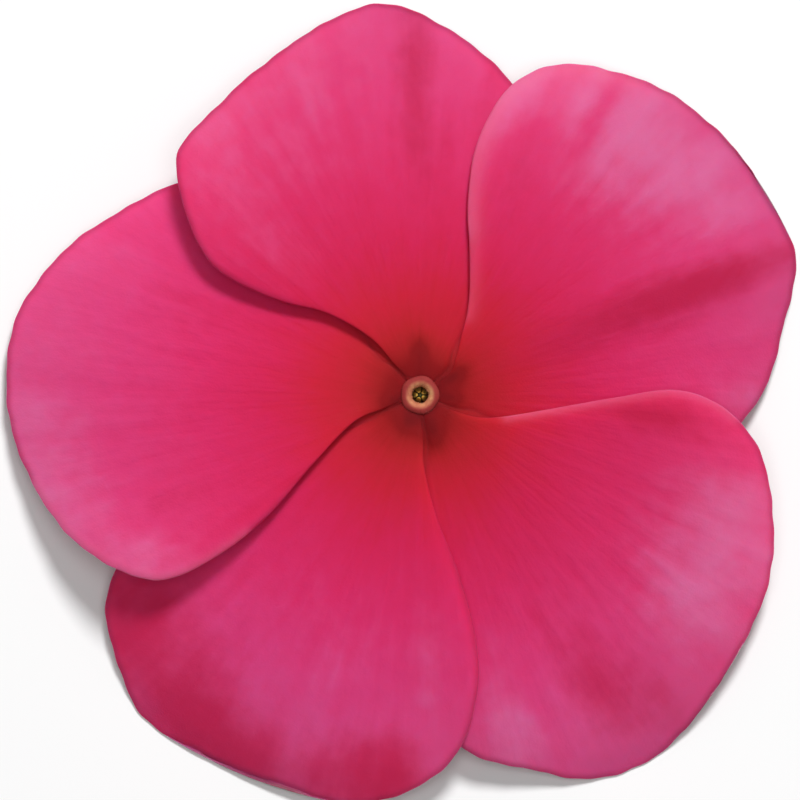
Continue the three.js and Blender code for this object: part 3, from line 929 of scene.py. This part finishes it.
def sweep_tree(hollow):
    """Sweeps a circle along a path that carries its radius, hollow with open ends or solid."""
    tree, path, given, finish = new_tree("sweep_hollow" if hollow else "sweep_solid", {"Sides": 28})
    skins = []
    for label in ("outer", "bore") if hollow else ("outer",):
        line = new_node(tree, "GeometryNodeMeshToCurve", {"Mesh": path})
        circle = new_node(tree, "GeometryNodeCurvePrimitiveCircle", {"Resolution": given["Sides"]})
        sweep = new_node(tree, "GeometryNodeCurveToMesh", {
            "Curve": line.outputs["Curve"], "Profile Curve": circle.outputs["Curve"],
            "Scale": field(tree, label), "Fill Caps": not hollow,
        })
        skins.append(sweep.outputs["Mesh"])
    body = skins[0]
    if hollow:
        body = welded(tree, together(tree, skins[0], flipped(tree, skins[1])), 0.003)
    x, y, z = position(tree)
    finish(moved(tree, body, vector_of(tree, x, y, z.made("MAXIMUM", 0.0))))
    return tree


COPIES = copies_tree()
DOWN = down_tree()
HOLLOW_SWEEP = sweep_tree(True)
SOLID_SWEEP = sweep_tree(False)


def downy(start, material, per_mm2, length, root, seed):
    """The piece with hairs of this length and root radius grown out of its skin."""
    return grown(start, DOWN, material, {
        "Per mm2": per_mm2, "Length": length, "Root": root, "Seed": seed,
    })


print("copies, down and sweeps ready")

# %% [markdown]
# ## Finishes of the small parts
#
# The eye is cream, flushed red towards its outer edge. The anthers are olive yellow with pollen.
# The tube is pale, tinged with the petals' red near the throat, and the calyx and stalk are a soft
# leaf green. Each is a colour ramp over noise at the scale of its own surface.

# %% Small finishes
def mottled(name, stops, scale, roughness, bump, stretch=(1, 1, 1)):
    """A finish whose colour wanders along a ramp with noise."""
    material, tree, principled = shader(name)
    spot = stretched(tree, coordinates(tree), stretch)
    clouds = noise(tree, spot, scale, 4.0, 0.6) + 0.5
    colour = ramp(tree, clouds, stops)
    tree.links.new(colour, principled.inputs["Base Color"])
    set_inputs(principled, {
        "Roughness": roughness,
        "Subsurface Weight": 0.1,
        "Subsurface Scale": 0.0004,
        "Subsurface Radius": (1.0, 0.7, 0.4),
    })
    bumped(tree, principled, noise(tree, spot, scale * 5, 3.0), bump)
    return material, tree, principled, colour


EYE_FUZZ, eye_tree, eye_shader, eye_cream = mottled(
    "eye_fuzz",
    [(0.3, (172, 92, 70)), (0.5, (206, 130, 92)), (0.7, (230, 170, 120))],
    1400, 0.8, 0.00002,
)
eye_distance, _ = round_throat(eye_tree)
eye_flush = smooth_step(eye_distance, 0.6, 0.95)
eye_red = blended(eye_tree, eye_flush * 0.97, eye_cream, linear(150, 32, 34))
eye_tree.links.new(eye_red, eye_shader.inputs["Base Color"])

TUBE_SKIN, tube_tree, tube_shader, tube_pale = mottled(
    "tube_skin",
    [(0.3, (176, 96, 110)), (0.5, (206, 150, 150)), (0.7, (214, 196, 168))],
    500, 0.5, 0.00002, (0.25, 1, 1),
)
_, tube_height = round_throat(tube_tree)
tube_red = blended(tube_tree, smooth_step(tube_height, 1.8, 5.0), tube_pale, linear(140, 24, 30))
tube_tree.links.new(tube_red, tube_shader.inputs["Base Color"])

POLLEN = mottled(
    "pollen",
    [(0.35, (176, 122, 44)), (0.55, (212, 162, 62)), (0.7, (232, 196, 96))],
    3000, 0.8, 0.00002,
)[0]
STYLE_SKIN = mottled(
    "style_skin",
    [(0.35, (150, 168, 92)), (0.65, (206, 214, 150))],
    1200, 0.5, 0.00001,
)[0]
LEAF_GREEN = mottled(
    "leaf_green",
    [(0.3, (74, 112, 42)), (0.5, (98, 140, 58)), (0.7, (132, 166, 82))],
    900, 0.6, 0.00003, (0.35, 1, 1),
)[0]
CUT_FLESH = mottled(
    "cut_flesh",
    [(0.4, (168, 190, 110)), (0.6, (214, 222, 166))],
    4000, 0.7, 0.00002,
)[0]
print("small finishes ready")

# %% [markdown]
# ## The cream eye
#
# Round the mouth of the tube stands a low cushion of fine hairs, with a thin lip over the petals'
# claws. Its inner wall leans into the throat like a funnel, which is why its lower side catches the
# light from the top of the picture. The body is one turned profile, and the down tree gives it its
# fuzz.

# %% The eye
LOBES = 5  # the soft corners that a turned piece shows, one to each petal


def turned_surface(profile, sides, wobble):
    """Points and faces of a closed profile of radius and height, turned round the Z axis."""
    points, faces = [], []
    count = len(profile)
    for side in range(sides):
        angle = 2 * math.pi * side / sides
        swell = 1 + wobble * math.cos(LOBES * angle)
        for radius, height in profile:
            points.append((radius * swell * math.cos(angle), radius * swell * math.sin(angle), height))
        after = (side + 1) % sides
        for step in range(count):
            a, b = side * count + step, side * count + (step + 1) % count
            c, d = after * count + (step + 1) % count, after * count + step
            faces.append((a, d, c, b))
    return points, faces


EYE_PROFILE = [  # foot, lip over the petals, crest, funnel, mouth, and back; heights from the limb
    (1.02, -0.20), (1.06, -0.07), (1.14, -0.03), (1.16, 0.01), (1.11, 0.07), (0.98, 0.14),
    (0.85, 0.17), (0.72, 0.13), (0.60, 0.02), (0.52, -0.14), (0.49, -0.28), (0.53, -0.32),
    (0.75, -0.28), (0.98, -0.24),
]
eye_profile = [(radius, LIMB_HEIGHT + height) for radius, height in EYE_PROFILE]
eye = mesh_object("eye_ring", *turned_surface(eye_profile, 96, 0.02))
eye = downy(eye, EYE_FUZZ, per_mm2=60, length=0.06, root=0.016, seed=3)
settle(eye, ["throat_ring"])

# %% [markdown]
# ## The tube
#
# The petals join one slender tube. It swells where the anthers sit just under the mouth, bends
# round under the left petal and lies along the surface, a little flattened where it touches. It
# follows a path, so the sweep tree draws it, once for the outside and once for the bore.

# %% The tube's path
ROUTE = np.array([
    (0, 0, 5.35), (0, 0, 4.2), (0, 0, 3.1), (-0.55, 0.05, 1.95), (-1.8, 0.2, 1.2),
    (-4.2, 0.5, 0.9), (-8.2, 0.9, 0.85), (-10.6, 1.1, 1.1), (-13.0, 1.15, 1.62),
    (-15.6, 1.0, 1.76), (-18.2, 0.85, 1.72), (-20.4, 0.5, 1.3), (-22.2, 0.1, 0.95),
    (-24.0, -0.5, 0.75),
])
ROUTE_POINTS = 900
STATIONS_PER_MM = 8
route_line, route_distances = curve_through(
    [2 * ROUTE[0] - ROUTE[1], *ROUTE, 2 * ROUTE[-1] - ROUTE[-2]], ROUTE_POINTS, knot_power=0.5
)


def on_route(distance):
    return np.array([np.interp(distance, route_distances, axis) for axis in route_line.T])


def path_object(name, profile):
    """A stretch of the route as a line of points, each with the radii of the profile there."""
    table = np.array(profile, float)
    start, end = table[0, 0], table[-1, 0]
    stations = np.linspace(start, end, int((end - start) * STATIONS_PER_MM) + 2)
    pairs = [(step, step + 1) for step in range(len(stations) - 1)]
    made = mesh_object(name, [on_route(station) for station in stations], [], pairs)
    for column, label in ((1, "outer"), (2, "bore")):
        if column < table.shape[1]:
            add_values(made, label, np.interp(stations, table[:, 0], table[:, column]))
    return made


TUBE_LENGTH = 21
TUBE_PROFILE = [  # distance along the path, outer radius, radius of the bore
    (0.0, 1.7, 1.7), (0.06, 1.62, 1.45), (0.2, 1.45, 1.05), (0.5, 1.36, 0.95), (1.0, 1.48, 1.0),
    (1.8, 1.52, 1.04), (2.6, 1.48, 1.02), (3.3, 1.38, 0.92), (4.2, 1.22, 0.76), (5.8, 1.06, 0.6),
    (12, 0.98, 0.56), (20.9, 0.9, 0.6), (TUBE_LENGTH, 0.75, 0.75),
]
tube = grown(path_object("tube_body", TUBE_PROFILE), HOLLOW_SWEEP, TUBE_SKIN, {"Sides": 32})
settle(tube, ["corolla_tube"])

# %% [markdown]
# ## Stamens and pistil
#
# Five anthers lean together just under the mouth, each on a very short filament from a ring of
# tissue in the tube. An anther is two pods side by side, with a seam down the middle where it
# opens. Below them the stigma is a small drum with a skirt, on a style as fine as a hair that runs
# down the whole tube to the ovary. Only the anthers' tips can be seen, through the hole of the eye.

# %% Anthers and their ring
def lofted(rings):
    """Points and faces of a closed body through rings of points, with a flat face at each end."""
    sides = len(rings[0])
    points = [point for ring in rings for point in ring]
    faces = [
        (ring * sides + k, ring * sides + (k + 1) % sides, (ring + 1) * sides + (k + 1) % sides,
         (ring + 1) * sides + k)
        for ring in range(len(rings) - 1)
        for k in range(sides)
    ]
    last = (len(rings) - 1) * sides
    faces.append(tuple(reversed(range(sides))))
    faces.append(tuple(last + k for k in range(sides)))
    return points, faces


FOOT_HEIGHT = LIMB_HEIGHT - 3.05
ANTHER_LENGTH = 2.4
ANTHER_TURN = 0.62  # distance of the anthers from the throat's axis at their foot
ANTHER_BOW = 0.46  # how far they bow inwards at their tip
ANTHER_HALF_DEPTH = 0.14
ANTHER_HALF_WIDTH = 0.24
FILAMENT = 0.15  # how high the pods begin above the foot


def anther_rings(stations=18, sides=20):
    """Rings up an anther: a pointed oval with a seam down its inner and its outer face."""
    rings = []
    for along in np.linspace(0.02, 0.99, stations):
        size = math.sin(math.pi * along**0.8) ** 0.4
        ring = []
        for k in range(sides):
            angle = 2 * math.pi * k / sides
            seam = 1 - 0.35 * math.exp(-((math.cos(angle) ** 2 - 1) / 0.25) ** 2)
            height = along * ANTHER_LENGTH
            outwards = ANTHER_HALF_DEPTH * size * seam * math.cos(angle)
            outwards += ANTHER_TURN - ANTHER_BOW * along**2
            aside = ANTHER_HALF_WIDTH * size * math.sin(angle)
            ring.append((outwards, aside, FOOT_HEIGHT + FILAMENT + height))
        rings.append(ring)
    return rings


anthers = mesh_object("anthers", *lofted(anther_rings()))
anthers = grown(anthers, COPIES, POLLEN, {"Count": 5, "Start turn": 36})
settle(anthers, ["stamens"])

FOOT_PROFILE = [
    (0.50, 0.02), (0.62, 0.0), (0.76, 0.03), (0.78, 0.18), (0.74, 0.32), (0.62, 0.35),
    (0.50, 0.31), (0.47, 0.17),
]
foot_profile = [(radius, FOOT_HEIGHT + height) for radius, height in FOOT_PROFILE]
foot = mesh_object("anther_foot", *turned_surface(foot_profile[::-1], 48, 0.01))
foot = downy(foot, POLLEN, per_mm2=10, length=0.05, root=0.012, seed=5)
settle(foot, ["stamens"])

# %% Stigma, style and ovary
PISTIL_PROFILE = [  # distance along the path, radius
    (1.4, 0.04), (1.43, 0.1), (1.5, 0.17), (1.6, 0.21), (2.0, 0.22), (2.15, 0.26), (2.3, 0.31),
    (2.36, 0.3), (2.45, 0.17), (2.7, 0.13), (8, 0.11), (17.4, 0.13), (18.0, 0.18), (18.7, 0.25),
    (19.6, 0.3), (20.4, 0.28), (20.7, 0.22), (20.8, 0.1),
]
pistil = grown(path_object("stigma_and_style", PISTIL_PROFILE), SOLID_SWEEP, STYLE_SKIN, {"Sides": 20})
settle(pistil, ["pistil"])

# %% [markdown]
# ## Calyx and stalk
#
# The tube stands in a small green cup with five narrow, pointed sepals that lie along it, and the
# cup sits on a short stalk, cut off square. All of it is downy. One sepal is drawn as a blade with
# a rib down its back and copied round the cup by the tree. The cut shows the paler flesh inside.

# %% The calyx
JOINT_GAP = 0.3
CALYX_FLOOR = 0.6
SEPAL_LENGTH = 3.4
SEPAL_HALF_WIDTH = 0.5
SEPAL_HALF_DEPTH = 0.2
SEPAL_TURN = 1.4  # distance of a sepal's foot from the calyx's axis
SEPAL_LEAN = 0.25  # and how much further out its tip is
SEPAL_START = 0.7
THINNEST = 0.015
CUP_PROFILE = [  # radius and height round the calyx's own axis; the tube ends at height 0
    (0.02, -0.9), (0.5, -0.9), (0.82, -0.88), (1.1, -0.72), (1.42, -0.42), (1.58, -0.15),
    (1.63, 0.3), (1.6, 0.8), (1.5, 1.08), (1.36, 1.1), (1.2, 1.0), (1.14, 0.6), (1.13, 0.0),
    (1.0, -0.24), (0.5, -0.28), (0.02, -0.28),
]


def sepal_rings(stations=20, sides=16):
    """Rings up a sepal that leans out a little, with a rib down its back."""
    rings = []
    for along in np.linspace(0, 1, stations):
        belly = 1 + 0.15 * math.sin(math.pi * along)
        half_width = SEPAL_HALF_WIDTH * (1 - along**1.6) ** 0.8 * belly + THINNEST
        half_depth = SEPAL_HALF_DEPTH * (1 - along**2) ** 0.7 + THINNEST
        ring = []
        for k in range(sides):
            angle = 2 * math.pi * k / sides
            across, through = math.sin(angle), math.cos(angle)
            rib = 0.1 * math.exp(-((across / 0.25) ** 2)) * max(0, through) * (1 - along)
            outwards = SEPAL_TURN + SEPAL_LEAN * along**2 + half_depth * through + rib
            ring.append((outwards, half_width * across, SEPAL_START + SEPAL_LENGTH * along))
        rings.append(ring)
    return rings


towards_throat = on_route(TUBE_LENGTH - 0.1) - on_route(TUBE_LENGTH + 0.1)
towards_throat /= np.linalg.norm(towards_throat)
sideways = np.cross(towards_throat, (0, 0, 1))
sideways /= np.linalg.norm(sideways)
upwards = np.cross(sideways, towards_throat)
calyx_base = on_route(TUBE_LENGTH + JOINT_GAP)
calyx_place = mathutils.Matrix([
    [*row, shift] for row, shift in zip(np.stack([upwards, sideways, towards_throat], 1), calyx_base)
] + [[0, 0, 0, 1]])

cup = mesh_object("calyx_cup", *turned_surface(CUP_PROFILE, 48, 0.02))
cup = downy(cup, LEAF_GREEN, per_mm2=5, length=0.16, root=0.02, seed=7)
sepals = mesh_object("sepals", *lofted(sepal_rings()))
sepals = grown(sepals, COPIES, LEAF_GREEN, {"Count": 5, "Start turn": 0})
sepals = downy(sepals, LEAF_GREEN, per_mm2=6, length=0.16, root=0.02, seed=8)
for piece in (cup, sepals):
    piece.data.transform(calyx_place)
    settle(piece, ["calyx"])

# %% The stalk and its cut end
STALK_START = TUBE_LENGTH + CALYX_FLOOR + 3 * JOINT_GAP
STALK_LENGTH = 3.3
STALK_END = STALK_START + STALK_LENGTH
STALK_PROFILE = [
    (STALK_START, 0.5), (STALK_START + 0.08, 0.72), (STALK_START + 0.4, 0.74),
    (STALK_START + 1.0, 0.62), (STALK_END - 0.08, 0.58), (STALK_END - 0.03, 0.55),
]
stalk = grown(path_object("stalk", STALK_PROFILE), SOLID_SWEEP, LEAF_GREEN, {"Sides": 24})
stalk = downy(stalk, LEAF_GREEN, per_mm2=5, length=0.15, root=0.02, seed=9)
settle(stalk, ["pedicel"])

CUT_PROFILE = [
    (STALK_END - 0.09, 0.4), (STALK_END - 0.05, 0.53), (STALK_END - 0.01, 0.5), (STALK_END, 0.3),
]
cut = grown(path_object("stalk_cut", CUT_PROFILE), SOLID_SWEEP, CUT_FLESH, {"Sides": 24})
settle(cut, ["pedicel"])

# %% [markdown]
# ## Floor and light
#
# The flower lies on white paper. A window beyond the top edge of the picture, a little to the right
# of its middle, leaves the soft shadows under the lower edges of the petals. A wide lamp overhead and
# the pale room fill them.

# %% Floor and light
FLOOR_SIZE = 4.0
PAPER_WHITE = 0.95
ROOM_LIGHT = 0.13
LAMPS = [  # name, place and width in metres, power in watts
    ("window", (0.14, 0.55, 0.69), 0.22, 6.6),
    ("ceiling", (0, 0, 1.4), 0.9, 6.0),
]
half_floor = FLOOR_SIZE / 2
floor = mesh_object(
    "floor",
    [(-half_floor, -half_floor, 0), (half_floor, -half_floor, 0),
     (half_floor, half_floor, 0), (-half_floor, half_floor, 0)],
    [(0, 1, 2, 3)],
)
floor_material, _, floor_shader = shader("white_paper")
set_inputs(floor_shader, {"Base Color": (PAPER_WHITE, PAPER_WHITE, PAPER_WHITE, 1), "Roughness": 0.8})
floor.data.materials.append(floor_material)


def soft_light(name, place, size, power):
    """A round lamp that faces the flower."""
    light = bpy.data.lights.new(name, "AREA")
    light.shape = "DISK"
    light.size = size
    light.energy = power
    made = bpy.data.objects.new(name, light)
    bpy.context.collection.objects.link(made)
    made.location = place
    made.rotation_mode = "QUATERNION"
    made.rotation_quaternion = (-mathutils.Vector(place)).to_track_quat("-Z", "Y")


for lamp in LAMPS:
    soft_light(*lamp)
world = bpy.data.worlds.new("studio")
bpy.context.scene.world = world
world.use_nodes = True
set_inputs(world.node_tree.nodes["Background"], {"Color": (1, 1, 1, 1), "Strength": ROOM_LIGHT})
print("light ready")
